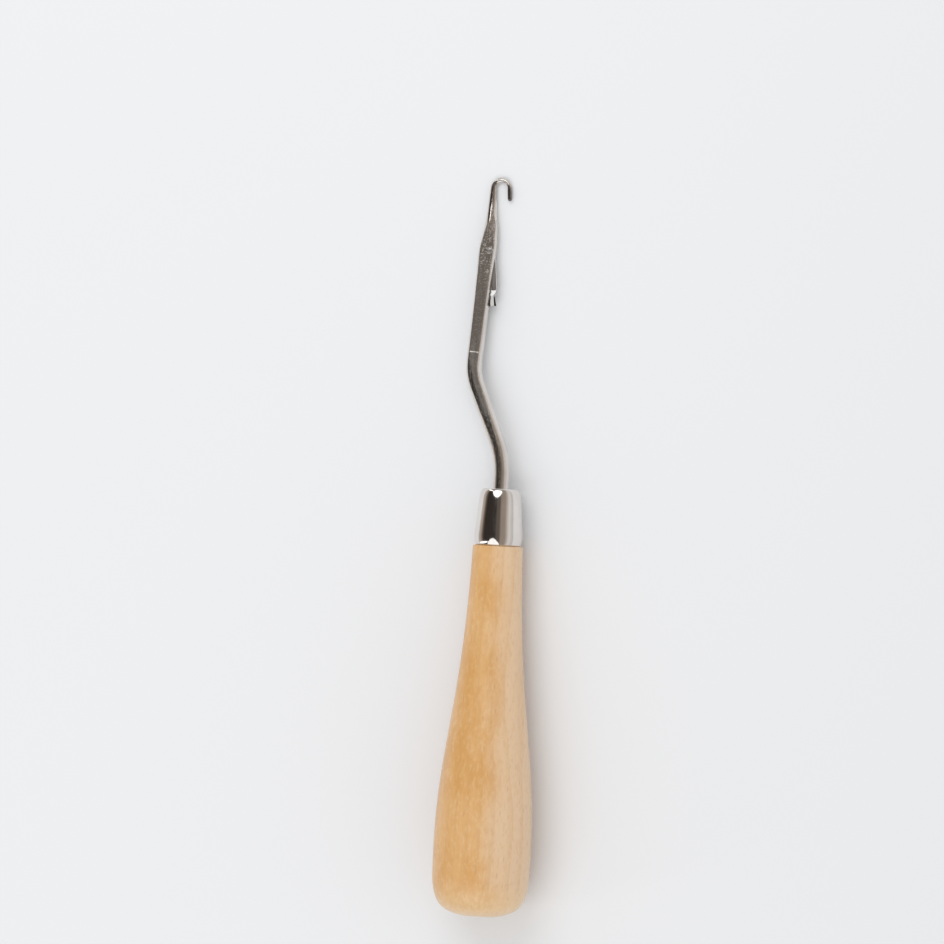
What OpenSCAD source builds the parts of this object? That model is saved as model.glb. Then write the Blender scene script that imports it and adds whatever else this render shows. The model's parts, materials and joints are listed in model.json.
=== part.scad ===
// Latch hook tool for rug yarn: a turned beech handle, a plated ferrule, one bent steel shank
// and a small latch that swings on a rivet. All lengths are in millimetres.
// The tool is drawn lying on a table, on the belly of its handle and both sides of its hook.

/* [Handle] */
// Length of the tool from the butt to the top of the hook
tool_len = 160; // [150:1:175]
// Height of the shoulder where the wood meets the ferrule
shoulder_s = 80.25; // [76:0.25:84]
// Radius of the handle at its belly
belly_r = 10.6; // [9:0.1:12]
// Radius of the handle just below the ferrule
neck_r = 5.44; // [5:0.02:6]
// Radius of the small flat at the butt
butt_r = 4; // [3:0.1:5]

/* [Ferrule] */
// Height of the ferrule
ferrule_h = 12.4; // [10:0.1:14]
// Wall of the drawn cup
ferrule_wall = 0.45; // [0.35:0.05:0.6]
// Outer radius above the rounded bottom edge
ferrule_low_r = 5.26; // [5:0.02:5.4]
// Outer radius below the rounded top edge
ferrule_top_r = 4.64; // [4.4:0.02:5]
// Height of the rounded top edge
ferrule_round = 3.3; // [2:0.1:4]
// Height of the rounded bottom edge
ferrule_lip = 1.7; // [1:0.1:2]
// Clearance between wood, ferrule and tang
fit = 0.03; // [0.01:0.01:0.08]

/* [Shank] */
// Diameter of the steel wire
wire_d = 3.5; // [3:0.1:4]
// Length of the tang inside the wood and the ferrule
tang_len = 35; // [25:1:45]
// Angle of the crank away from the handle's axis
crank_deg = 23.3; // [18:0.1:28]
// Sideways offset of the pressed stem at the step line
stem_u = -7.35; // [-8.5:0.05:-6]
// Lean of the stem back towards the axis
stem_deg = 4.1; // [2:0.1:6]
// Thickness of the pressed stem at the latch seat
seat_t = 2.4; // [2.2:0.02:2.6]
// Width of the stem at the latch seat
seat_w = 3.98; // [3.6:0.02:4.2]
// Radius of the hook, to the middle of the wire
hook_r = 1.8; // [1.5:0.05:2.2]
// Diameter of the wire at the barb
barb_d = 0.95; // [0.8:0.05:1.2]

/* [Latch] */
// Position of the rivet along the tool
pivot_s = 144.06; // [140:0.01:147]
// Position of the rivet across the tool
pivot_u = -5.2; // [-5.5:0.01:-5]
// Direction of the open latch, measured from the axis across the tool
open_deg = -85.2; // [-86:0.1:-83]
// Swing of the latch from open to closed
swing_deg = 156; // [140:1:157]
// Length of the latch from the rivet to the end of the spoon
latch_len = 12; // [11.5:0.05:12.5]
// Radius of the latch's eye
eye_r = 1.12; // [1:0.02:1.2]
// Width of the blade outside the latch's middle line
blade_out = 1.2; // [1:0.02:1.25]
// Thickness of the latch blade
blade_t = 0.7; // [0.6:0.05:0.9]
// Width of the slot that the latch swings in
slot_t = 0.8; // [0.7:0.05:1]
// Length of the spoon
spoon_len = 2.9; // [2.4:0.1:3.4]
// Outer radius of the spoon at its open end
spoon_r = 1.05; // [0.9:0.05:1.2]
// Wall of the spoon
spoon_wall = 0.26; // [0.22:0.02:0.35]
// Diameter of the rivet
rivet_d = 0.9; // [0.8:0.05:1.1]

/* [Hidden] */
$fn = 64;

// A point at fraction f of a cubic curve through four control points.
function bez(p, f) = pow(1 - f, 3) * p[0] + 3 * pow(1 - f, 2) * f * p[1]
    + 3 * (1 - f) * f * f * p[2] + pow(f, 3) * p[3];

// The handle's outline as [radius, height] points: the rounded butt, the belly, the slim neck.
butt_curve = [[butt_r, 0], [butt_r + 5.5, 2.76], [belly_r - 0.36, 0.93], [belly_r, 14]];
neck_rise = shoulder_s - 14;
neck_curve = [[belly_r, 14], [belly_r, 14 + 0.35 * neck_rise],
    [neck_r + 0.7, shoulder_s - 0.54 * neck_rise], [neck_r, shoulder_s - 0.12]];
butt_pts = [for (i = [0:12]) bez(butt_curve, pow(i / 12, 1.15))];
neck_pts = [for (i = [1:24]) bez(neck_curve, i / 24)];
grip_pts = concat(butt_pts, neck_pts);

ferrule_top = shoulder_s + ferrule_h;
// The ferrule's outer wall moved inwards by d. Both of its ends are drawn in like a tall ellipse.
lip_in = 0.6;
round_in = 0.95;
lip_s = shoulder_s + fit + ferrule_lip * sin(70);
function oval(c, a, b, t) = [c[0] + a * cos(t), c[1] + b * sin(t)];
function cup_line(d) = concat(
    [for (i = [0:5]) oval([ferrule_low_r - lip_in, lip_s], lip_in - d, ferrule_lip - d, -70 + i * 16.4)],
    [for (i = [0:8]) oval([ferrule_top_r - round_in, ferrule_top - ferrule_round],
        round_in - d, ferrule_round - d, 16 + i * 9.25)]);
tenon_top = ferrule_top - ferrule_wall - fit;
// The tenon is straight up to the ferrule's rounded lip and follows its wall above that.
tenon_r = cup_line(ferrule_wall + fit)[0][0] - 0.02;
tenon_s = lip_s + 0.3;
bore_r = wire_d / 2 + fit;
wing_w = 4.7;
wing_t = 1.2;
wing_gap = 2.5;
hole_r = wire_d / 2 + 0.1;
tang_end = ferrule_top - 0.7 - tang_len;

// The shank's centre line as straight runs and bends: [length, turn in degrees, number of steps].
base_s = ferrule_top - 0.7;
bend1_r = 19.5;
bend2_r = 12;
bend1_s = 96.4;
turn2 = crank_deg + stem_deg;
bend1_end = [-bend1_r * (1 - cos(crank_deg)), bend1_s + bend1_r * sin(crank_deg)];
bend2_step = [bend2_r * (cos(crank_deg) - cos(stem_deg)), bend2_r * (sin(stem_deg) + sin(crank_deg))];
// The straight crank is as long as it must be to bring the stem to its offset at the step line.
step_s = 122;
crank_gap = bend1_end[0] + bend2_step[0] - stem_u
    - tan(stem_deg) * (bend1_end[1] + bend2_step[1] - step_s);
crank_len = crank_gap / (sin(crank_deg) + cos(crank_deg) * tan(stem_deg));
bend2_end_s = bend1_end[1] + crank_len * cos(crank_deg) + bend2_step[1];
neck_s = 146.4;
stem_len = (neck_s - bend2_end_s) / cos(stem_deg);
neck_deg = 2;
hook_top_w = 0.98;
hook_s = tool_len - hook_r - hook_top_w / 2;
bend3_len = 2;
neck_len = hook_s - neck_s - bend3_len;
hook_turn = 176 - neck_deg;
runs = [
    [bend1_s - base_s + 0.4, 0, 3],
    [bend1_r * crank_deg * PI / 180, -crank_deg, 8],
    [crank_len, 0, 6],
    [bend2_r * turn2 * PI / 180, turn2, 9],
    [stem_len, 0, 16],
    [bend3_len, neck_deg - stem_deg, 2],
    [neck_len, 0, 9],
    [hook_r * hook_turn * PI / 180, hook_turn, 16],
    [2.35, 0, 3],
    [0.45, 0, 5]];
// One station is [across, along, heading, distance]; the heading turns from the axis to the right.
function run_point(p, run, f) = let (h = p[2] + f * run[1], r = run[0] * 180 / PI / run[1])
    run[1] == 0
    ? [p[0] + f * run[0] * sin(p[2]), p[1] + f * run[0] * cos(p[2]), h, p[3] + f * run[0]]
    : [p[0] + r * (cos(p[2]) - cos(h)), p[1] + r * (sin(h) - sin(p[2])), h, p[3] + f * run[0]];
function walk(p, i = 0) = i >= len(runs) ? []
    : concat([for (j = [1:runs[i][2]]) run_point(p, runs[i], j / runs[i][2])],
        walk(run_point(p, runs[i], 1), i + 1));
start = [0, base_s - 0.4, 0, 0];
stations = concat([start], walk(start));

// Distances along the centre line at which the section changes.
d_crank = runs[0][0] + runs[1][0];
d_bend2 = d_crank + crank_len;
d_stem = d_bend2 + runs[3][0];
d_step = d_stem + (step_s - bend2_end_s) / cos(stem_deg);
d_neck = d_stem + stem_len;
d_hook = d_neck + bend3_len + neck_len;
d_barb = d_hook + runs[7][0];
d_end = d_barb + 2.8;
// Width in the plane of the hook.
widths = [[0, wire_d - 0.04], [d_step + 12, wire_d], [d_neck - 7, seat_w - 0.26], [d_neck - 3.4, seat_w - 0.03],
    [d_neck - 1.5, seat_w], [d_neck - 0.2, 3.72], [d_neck + 0.8, 3.4], [d_neck + 2.9, 2.88],
    [d_neck + 5.6, 2.2], [d_neck + 7.7, 1.9], [d_neck + 9.9, 1.62], [d_hook, 1.45],
    [d_hook + 2.8, hook_top_w], [d_barb, barb_d], [d_end, barb_d]];
// Thickness across that plane: the stem is pressed flat above the step line.
thicks = [[0, wire_d - 0.06], [d_crank - 2, wire_d - 0.06], [d_crank + 7, 3], [d_crank + 12, 2.84],
    [d_step - 0.12, 2.8], [d_step + 0.12, 2.68], [d_step + 5, 2.54], [d_step + 13, 2.44],
    [d_neck - 6, seat_t], [d_neck + 0.2, seat_t], [d_neck + 3.6, seat_t - 0.12], [d_neck + 5.6, 1.82],
    [d_neck + 7.8, 1.36], [d_hook, 1.12], [d_hook + 2.8, 0.96], [d_barb, barb_d], [d_end, barb_d]];
// How round the section is: the angle up to which the side of the wire stays an arc.
arcs = [[0, 82], [d_crank - 2, 82], [d_crank + 7, 60], [d_crank + 12, 54], [d_step, 52],
    [d_step + 13, 44], [d_neck + 0.2, 43], [d_neck + 3.5, 52], [d_neck + 5.6, 70], [d_neck + 7.7, 80],
    [d_end, 82]];
// The neck leans towards the open side of the hook.
leans = [[d_neck - 2.5, 0], [d_neck + 0.6, 0.19], [d_neck + 2.9, 0.22], [d_neck + 5.6, 0.1],
    [d_hook, 0], [d_end, 0]];
function tip_scale(d) = d <= d_end - 0.45 ? 1
    : max(0.25, sqrt(1 - pow((d - d_end + 0.45) / 0.465, 2)));
ring_n = 10;
function ring(st) = let (
    d = st[3], q = tip_scale(d), a = lookup(d, arcs),
    w = lookup(d, widths) * q / 2, t = lookup(d, thicks) * q / 2 / sin(a), lean = lookup(d, leans))
    [for (side = [0, 1]) for (i = [0:ring_n - 1]) let (
        g = side * 180 - a + 2 * a * i / (ring_n - 1),
        x = lean + w * cos(g))
        [st[0] + x * cos(st[2]), st[1] - x * sin(st[2]), t * sin(g)]];
rings = [for (st = stations) ring(st)];
ring_pts = [for (r = rings) for (p = r) p];
row = 2 * ring_n;
sides = [for (i = [0:len(rings) - 2]) for (j = [0:row - 1]) let (k = (j + 1) % row)
    [i * row + k, (i + 1) * row + k, (i + 1) * row + j, i * row + j]];
ends = [[for (j = [row - 1:-1:0]) j], [for (j = [0:row - 1]) (len(rings) - 1) * row + j]];

// The resting plane touches the handle, the shank and the barb's side of the hook.
hook_mid = stations[len(stations) - 1 - runs[8][2] - runs[9][2]][0] - hook_r;
shank_pts = [for (p = ring_pts) if (p[0] < hook_mid) p];
barb_pts = [for (p = ring_pts) if (p[0] > hook_mid && p[1] > pivot_s) p];
function depth(n, p) = n[0] * p[0] + n[1] * p[1] + n[2] * p[2];
function lowest(n, pts) = let (d = [for (p = pts) depth(n, p)], m = min(d)) pts[search(m, d)[0]];
function belly_point(n) = let (
    q = sqrt(n[0] * n[0] + n[2] * n[2]),
    pts = [for (p = grip_pts) [-p[0] * n[0] / q, p[1], -p[0] * n[2] / q]])
    lowest(n, pts);
function unit(v) = v / norm(v);
function plane_normal(n, i) = i == 0 ? n : let (
    b = belly_point(n),
    v = unit(cross(lowest(n, shank_pts) - b, lowest(n, barb_pts) - b)))
    plane_normal(v[2] < 0 ? -v : v, i - 1);
rest_n = plane_normal([0, -0.07, 1], 8);
roll = atan2(-rest_n[0], rest_n[2]);
pitch = asin(rest_n[1]);
lift = -depth(rest_n, belly_point(rest_n));
// The tool's length on the table, from the butt to the hook.
back_y = min([for (p = grip_pts) p[1] * cos(pitch) - p[0] * abs(sin(pitch))]);
front_y = max([for (p = ring_pts)
    p[1] * cos(pitch) - (p[2] * cos(roll) - p[0] * sin(roll)) * sin(pitch)]);
shift_y = -(back_y + front_y) / 2;

// Turns the tool's own axes (across, along, upwards) into its place on the table.
module lying() {
    translate([0, shift_y, lift])
        rotate([pitch, 0, 0])
            rotate([0, roll, 0])
                children();
}

// A body turned about the tool's axis from [radius, height] points.
module turned(pts) {
    rotate([-90, 0, 0])
        rotate_extrude()
            polygon(pts);
}

// A round bar along the tool's axis.
module bar(r, s0, s1) {
    translate([0, s0, 0])
        rotate([-90, 0, 0])
            cylinder(r = r, h = s1 - s0);
}

module handle() {
    color("burlywood")
        lying()
            difference() {
                turned(concat(
                    [[0, 0]],
                    grip_pts,
                    [[neck_r - 0.14, shoulder_s], [tenon_r, shoulder_s], [tenon_r, tenon_s]],
                    [for (i = [6:14]) cup_line(ferrule_wall + fit)[i]],
                    [[0, tenon_top]]));
                bar(bore_r, tang_end - 0.6, ferrule_top + 1);
                translate([-wing_w / 2 - fit, tang_end + wing_gap - fit, -wing_t / 2 - fit])
                    cube([wing_w + 2 * fit, tang_len + 1, wing_t + 2 * fit]);
            }
}
module ferrule() {
    color("silver")
        lying()
            turned(concat(
                cup_line(0),
                [[hole_r, ferrule_top], [hole_r, ferrule_top - ferrule_wall]],
                [for (i = [14:-1:0]) cup_line(ferrule_wall)[i]]));
}

// The side view of the slot: it follows the open latch below the rivet and the closed one above.
floor_open = eye_r + 0.14;
floor_closed = blade_out + 0.14;
closed_deg = open_deg + swing_deg;
// A point seen from the rivet: x along the direction a, n to its left.
function from_pivot(a, x, n) = [pivot_u + x * cos(a) - n * sin(a), pivot_s + x * sin(a) + n * cos(a)];
slot_from = open_deg + 270;
slot_to = closed_deg + 90;
slot_pts = concat(
    [from_pivot(open_deg, 1.4 * latch_len, -floor_open)],
    [for (i = [0:6]) from_pivot(slot_from + i * (slot_to - slot_from) / 6,
        floor_open + (floor_closed - floor_open) * i / 6, 0)],
    [from_pivot(closed_deg, 0.85 * latch_len, floor_closed),
        from_pivot(0, latch_len, latch_len), from_pivot(0, latch_len, -1.4 * latch_len)]);

module rivet_shape(r) {
    rotate_extrude()
        polygon([[0, -seat_t / 2 - 0.1], [0.34, -seat_t / 2 - 0.07], [0.68, -seat_t / 2],
            [r, -seat_t / 2 + 0.24], [r, seat_t / 2 - 0.24], [0.68, seat_t / 2],
            [0.34, seat_t / 2 + 0.07], [0, seat_t / 2 + 0.1]]);
}

module shank() {
    color("slategray")
        lying()
            difference() {
                union() {
                    polyhedron(points = ring_pts, faces = concat(sides, ends), convexity = 10);
                    bar(wire_d / 2, tang_end, base_s);
                    translate([-wing_w / 2, tang_end + wing_gap, -wing_t / 2])
                        cube([wing_w, 2 * wire_d, wing_t]);
                }
                translate([0, 0, -slot_t / 2])
                    linear_extrude(height = slot_t)
                        polygon(slot_pts);
                translate([pivot_u, pivot_s, 0])
                    rivet_shape(rivet_d / 2);
            }
}

// The spoon is a trough that flares to an open end. It is turned about a line beside the latch's
// own middle line, then cut open on the side that meets the barb.
spoon_n = 0.33;
spoon_rim = 0.35;
spoon_s = latch_len - spoon_len;
root_r = blade_t / 2 + 0.02;
// The flare's outer radius at fraction f of the spoon's length.
function flare(f) = root_r + (spoon_r - root_r) * (1 - pow(1 - f, 2.2)) * (1 - 0.35 * pow(1 - f, 3));
flare_pts = [for (i = [0:8]) [flare(i / 8), spoon_s + spoon_len * i / 8]];
hollow_pts = [for (i = [2:8]) [flare(i / 8) - spoon_wall, spoon_s + spoon_len * i / 8]];
blade_end = spoon_s + 0.3 * spoon_len;

module latch() {
    color("gainsboro")
        lying()
            translate([pivot_u, pivot_s, 0])
                rotate([0, 0, open_deg])
                    difference() {
                        union() {
                            translate([0, 0, -blade_t / 2])
                                linear_extrude(height = blade_t)
                                    union() {
                                        circle(r = eye_r);
                                        polygon([[0, -eye_r], [0.55 * spoon_s, -0.9], [0.94 * spoon_s, -0.25],
                                            [blade_end, 0.05], [blade_end, spoon_n + 0.3],
                                            [spoon_s, blade_out - 0.2], [0.9 * spoon_s, blade_out],
                                            [0.6 * spoon_s, blade_out], [0, eye_r]]);
                                    }
                            translate([0, spoon_n, 0])
                                rotate([0, 90, 0])
                                    difference() {
                                        rotate_extrude()
                                            polygon(concat([[0, spoon_s]], flare_pts, [[0, latch_len]]));
                                        rotate_extrude()
                                            polygon(concat([[0, hollow_pts[0][1] - 0.2]], hollow_pts,
                                                [[spoon_r - spoon_wall, latch_len + 1], [0, latch_len + 1]]));
                                        translate([-2 * spoon_r, spoon_rim, spoon_s + 0.2 * spoon_len])
                                            cube([4 * spoon_r, 2 * spoon_r, 2 * spoon_len]);
                                    }
                        }
                        translate([0, 0, -blade_t])
                            cylinder(r = rivet_d / 2 + 0.05, h = 2 * blade_t);
                    }
}

module latch_rivet() {
    color("dimgray")
        lying()
            translate([pivot_u, pivot_s, 0])
                rivet_shape(rivet_d / 2);
}

handle();
ferrule();
shank();
latch();
latch_rivet();
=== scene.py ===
"""Looks of a latch hook tool: beech handle, plated ferrule, bent steel shank, latch and rivet.

Lengths in the classes are in millimetres along the tool's own axes: across (towards the open side
of the hook), along (from the butt to the hook) and upwards. ToolAxes puts them into the shared
frame, which is in metres.
"""

from __future__ import annotations

import json
import logging
import math
from dataclasses import dataclass, field
from enum import Enum

import bpy
import numpy as np
from mathutils import Matrix

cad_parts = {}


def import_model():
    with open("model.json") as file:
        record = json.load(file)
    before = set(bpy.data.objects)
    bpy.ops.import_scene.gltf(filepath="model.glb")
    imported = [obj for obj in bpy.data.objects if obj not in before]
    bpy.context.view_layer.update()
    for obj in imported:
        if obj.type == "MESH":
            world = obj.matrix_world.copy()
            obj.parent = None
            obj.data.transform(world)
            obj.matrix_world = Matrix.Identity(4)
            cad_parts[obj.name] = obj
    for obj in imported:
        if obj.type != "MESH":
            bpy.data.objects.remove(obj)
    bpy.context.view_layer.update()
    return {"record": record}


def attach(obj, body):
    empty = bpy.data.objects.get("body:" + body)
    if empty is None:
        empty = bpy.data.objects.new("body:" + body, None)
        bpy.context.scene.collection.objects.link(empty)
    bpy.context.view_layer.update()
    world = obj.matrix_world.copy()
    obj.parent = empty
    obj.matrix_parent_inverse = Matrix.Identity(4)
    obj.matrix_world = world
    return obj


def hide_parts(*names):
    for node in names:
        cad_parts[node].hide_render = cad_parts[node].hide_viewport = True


LOG = logging.getLogger("latch_hook")
MM = 0.001
SHARP = 32.0  # edges that turn by more than this many degrees stay sharp
Array = np.ndarray
Socket = bpy.types.NodeSocket
Colour = tuple[float, float, float]


# ---------------------------------------------------------------- places and curves


@dataclass(frozen=True)
class ToolAxes:
    """The tool's own axes in the shared frame, with their origin in the middle of the butt."""

    origin: Array
    across: Array
    along: Array
    upwards: Array

    @classmethod
    def from_record(cls, record: dict) -> "ToolAxes":
        """Works the axes out from the butt's mount and the latch's hinge.

        Args:
            record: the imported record.

        Returns:
            The axes, at right angles to each other.
        """
        butt = next(m for m in record["mounts"] if m["name"] == "butt_face")
        along = -unit(np.array(butt["axis"], float))
        hinge = np.array(record["behaviour"]["joints"][0]["axis"], float)
        upwards = unit(hinge - along * (hinge @ along))
        return cls(np.array(butt["pos_m"], float), np.cross(along, upwards), along, upwards)

    def turn(self) -> Array:
        """The three axes as the rows of a matrix."""
        return np.array([self.across, self.along, self.upwards])

    def place(self, points: Array) -> Array:
        """Points in millimetres on the tool's axes, put into the shared frame in metres."""
        return self.origin + MM * points @ self.turn()

    def way(self, across: float, along: float, upwards: float) -> Array:
        """The direction in the shared frame of a direction on the tool's axes."""
        return unit(np.array([across, along, upwards]) @ self.turn())

    def moved(self, across: float, along: float, degrees: float) -> "ToolAxes":
        """Axes from another point, turned about the upward axis.

        Args:
            across: place of the new origin across the tool.
            along: place of the new origin along the tool.
            degrees: turn from the tool's across axis to the new one.

        Returns:
            The turned axes.
        """
        g = math.radians(degrees)
        turned_across = self.across * math.cos(g) + self.along * math.sin(g)
        turned_along = -self.across * math.sin(g) + self.along * math.cos(g)
        origin = self.place(np.array([across, along, 0.0]))
        return ToolAxes(origin, turned_across, turned_along, self.upwards)


def unit(vector: Array) -> Array:
    """The vector at length one."""
    return vector / np.linalg.norm(vector)


def bezier(points: list[tuple[float, float]], f: Array) -> Array:
    """Points of a cubic curve: (1-f)^3 a + 3 (1-f)^2 f b + 3 (1-f) f^2 c + f^3 d.

    Args:
        points: the four control points a, b, c and d.
        f: fractions along the curve.

    Returns:
        One point for each fraction.
    """
    a, b, c, d = np.array(points, float)
    f = f[:, None]
    return (1 - f) ** 3 * a + 3 * (1 - f) ** 2 * f * b + 3 * (1 - f) * f**2 * c + f**3 * d


def arc(centre: tuple[float, float], radius: float, start: float, end: float, steps: int) -> Array:
    """Points of an arc: centre + radius (cos g, sin g), with g from start to end in degrees.

    Args:
        centre: middle of the arc.
        radius: its radius.
        start: first angle.
        end: last angle.
        steps: number of points.

    Returns:
        The points in order.
    """
    g = np.radians(np.linspace(start, end, steps))
    return np.array(centre) + radius * np.column_stack([np.cos(g), np.sin(g)])


def oval(centre: tuple[float, float], across: float, up: float, t: Array) -> Array:
    """Points of an ellipse: centre + (across cos t, up sin t)."""
    return np.array(centre) + np.column_stack([across * np.cos(t), up * np.sin(t)])


def respaced(points: Array, gap: float, loop: bool = False) -> Array:
    """The same line with points at even distances along it.

    Args:
        points: the line's points.
        gap: distance between the new points.
        loop: whether the last point joins the first.

    Returns:
        The new points, without a repeated one where the line is a loop.
    """
    line = np.vstack([points, points[:1]]) if loop else points
    reach = np.concatenate([[0], np.cumsum(np.linalg.norm(np.diff(line, axis=0), axis=1))])
    count = max(8, int(reach[-1] / gap))
    spots = np.linspace(0, reach[-1], count, endpoint=not loop)
    return np.column_stack([np.interp(spots, reach, column) for column in line.T])


def eased_loop(points: Array, times: int) -> Array:
    """A closed line with its corners eased: each point becomes (before + 2 itself + after) / 4.

    Args:
        points: the loop's points, on the second last axis.
        times: how often it is done.

    Returns:
        The eased points.
    """
    for _ in range(times):
        points = (np.roll(points, 1, -2) + 2 * points + np.roll(points, -1, -2)) / 4
    return points


def eased_table(table: list[tuple[float, float]], d: Array, reach: float) -> Array:
    """Values read from a table by straight lines, then averaged over a distance each side.

    The average is the mean of the table at 9 distances from d - reach to d + reach.

    Args:
        table: pairs of distance and value.
        d: distances to read at.
        reach: how far the average goes to each side.

    Returns:
        One value for each distance.
    """
    at, value = np.array(table, float).T
    shifts = np.linspace(-reach, reach, 9)
    return np.interp(d[:, None] + shifts, at, value).mean(axis=1)


# ---------------------------------------------------------------- meshes


@dataclass
class Skin:
    """Vertices and faces of a closed surface."""

    points: Array
    faces: list


def skin(rings: Array, loop: bool = False, flat_ends: bool = False) -> Skin:
    """A closed surface through rings of points: point (i, j) of the grid is point j of ring i.

    The faces are turned outwards by the sign of the volume, a sixth of the sum of a . (b x c).

    Args:
        rings: grid of points, rings by points by three.
        loop: whether the last ring joins the first, otherwise both ends are closed.
        flat_ends: closes each end with one face, otherwise with triangles to its middle.

    Returns:
        The surface with its faces outwards.
    """
    count, row = rings.shape[:2]
    i, j = np.meshgrid(np.arange(count if loop else count - 1), np.arange(row), indexing="ij")
    i, j = i.ravel(), j.ravel()
    up, right = (i + 1) % count, (j + 1) % row
    quads = np.column_stack([i * row + j, i * row + right, up * row + right, up * row + j])
    points = rings.reshape(-1, 3)
    faces = quads.tolist()
    if not loop and flat_ends:
        faces += [np.arange(row)[::-1].tolist(), ((count - 1) * row + np.arange(row)).tolist()]
    elif not loop:
        ends = np.array([rings[0].mean(axis=0), rings[-1].mean(axis=0)])
        a, b = np.arange(row), (np.arange(row) + 1) % row
        low = np.column_stack([b, a, np.full(row, len(points))])
        top = (count - 1) * row
        high = np.column_stack([top + a, top + b, np.full(row, len(points) + 1)])
        faces += low.tolist() + high.tolist()
        points = np.vstack([points, ends])
    p = points[quads]
    halves = np.concatenate([p[:, [0, 1, 2]], p[:, [0, 2, 3]]])
    volume = np.einsum("ij,ij->i", halves[:, 0], np.cross(halves[:, 1], halves[:, 2])).sum()
    if volume < 0:
        faces = [face[::-1] for face in faces]
    return Skin(points, faces)


def turned(profile: Array, steps: int, loop: bool = False) -> Skin:
    """A profile turned about the along axis: (r, s) at angle g lies at (r cos g, s, r sin g).

    Args:
        profile: points of radius and height.
        steps: points around.
        loop: whether the profile is a closed loop, otherwise its ends are closed.

    Returns:
        The turned surface.
    """
    g = np.linspace(0, 2 * np.pi, steps, endpoint=False)
    r, s = profile[:, 0, None], profile[:, 1, None]
    rings = np.stack([r * np.cos(g), s + 0 * g, r * np.sin(g)], axis=2)
    return skin(rings, loop)


def upright(surface: Skin) -> Skin:
    """A surface turned so that its along axis points upwards: (x, s, z) becomes (x, -z, s)."""
    return Skin(surface.points[:, [0, 2, 1]] * (1, -1, 1), surface.faces)


def plate(outline: Array, thickness: float, edge: float) -> Skin:
    """A flat plate with rounded edges, its middle plane at height zero.

    The outline is moved inwards along its normals by edge (1 - sin g) at the height
    thickness / 2 - edge (1 - cos g) on both faces, with g from 0 to 90 degrees.

    Args:
        outline: evenly spaced points around the plate, counter-clockwise.
        thickness: the plate's thickness.
        edge: radius of its edges.

    Returns:
        The plate's surface.
    """
    tangent = np.roll(outline, -1, 0) - np.roll(outline, 1, 0)
    tangent /= np.linalg.norm(tangent, axis=1)[:, None]
    inwards = np.column_stack([-tangent[:, 1], tangent[:, 0]])
    g = np.radians(np.linspace(0, 90, 5))
    inset = edge * (1 - np.sin(g))
    height = thickness / 2 - edge * (1 - np.cos(g))
    inset = np.concatenate([inset, inset[::-1]])
    height = np.concatenate([height, -height[::-1]])
    flat = outline[None] + inset[:, None, None] * inwards[None]
    level = np.broadcast_to(height[:, None, None], flat.shape[:2] + (1,))
    return skin(np.concatenate([flat, level], axis=2), flat_ends=True)


def add_object(name: str, data: bpy.types.ID) -> bpy.types.Object:
    """A new object with the given mesh, light or camera, linked to the scene."""
    made = bpy.data.objects.new(name, data)
    bpy.context.scene.collection.objects.link(made)
    return made


def standing(x: Array, y: Array, z: Array, spot: Array) -> Matrix:
    """The matrix of an object at a spot, with its own axes along three directions."""
    return Matrix(np.vstack([np.column_stack([x, y, z, spot]), [0, 0, 0, 1]]).tolist())


def build(name: str, surface: Skin, axes: ToolAxes, sharp: float = SHARP) -> bpy.types.Object:
    """A Blender object from a surface, smooth except at sharp edges.

    Args:
        name: name of the object.
        surface: the surface on the given axes, in millimetres.
        axes: the axes it is drawn on.
        sharp: edges that turn by more than these degrees stay sharp.

    Returns:
        The object, at the origin with its place in its mesh.
    """
    mesh = bpy.data.meshes.new(name)
    mesh.from_pydata(axes.place(surface.points).tolist(), [], surface.faces)
    mesh.update()
    piece = add_object(name, mesh)
    smooth(mesh, sharp)
    return piece


def smooth(mesh: bpy.types.Mesh, sharp: float) -> None:
    """Shades a mesh smooth and keeps edges over the given angle in degrees sharp."""
    mesh.polygons.foreach_set("use_smooth", [True] * len(mesh.polygons))
    mesh.set_sharp_from_angle(angle=math.radians(sharp))
    mesh.update()


def mark(piece: bpy.types.Object, name: str, values: Array, where: str = "POINT") -> None:
    """Keeps one number for each vertex, or each face, of a piece: its finish reads it by name."""
    kept = piece.data.attributes.new(name, "FLOAT", where)
    kept.data.foreach_set("value", values.astype(float).ravel())


class Cut(Enum):
    """How one solid changes another."""

    AWAY = "DIFFERENCE"
    TOGETHER = "UNION"


def carve(piece: bpy.types.Object, tool: bpy.types.Object, cut: Cut, sharp: float = SHARP) -> None:
    """Changes a piece by another solid, keeps the result in its mesh and removes the other solid.

    Args:
        piece: the piece to change.
        tool: the solid that is taken away or added.
        cut: which of the two it is.
        sharp: angle in degrees above which edges stay sharp.
    """
    change = piece.modifiers.new("carve", "BOOLEAN")
    change.operation = cut.value
    change.solver = "EXACT"
    change.object = tool
    view = bpy.context.evaluated_depsgraph_get()
    mesh = bpy.data.meshes.new_from_object(piece.evaluated_get(view))
    piece.modifiers.clear()
    old = piece.data
    piece.data = mesh
    mesh.name = piece.name
    bpy.data.meshes.remove(old)
    bpy.data.objects.remove(tool)
    smooth(mesh, sharp)


# ---------------------------------------------------------------- node graphs


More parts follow.
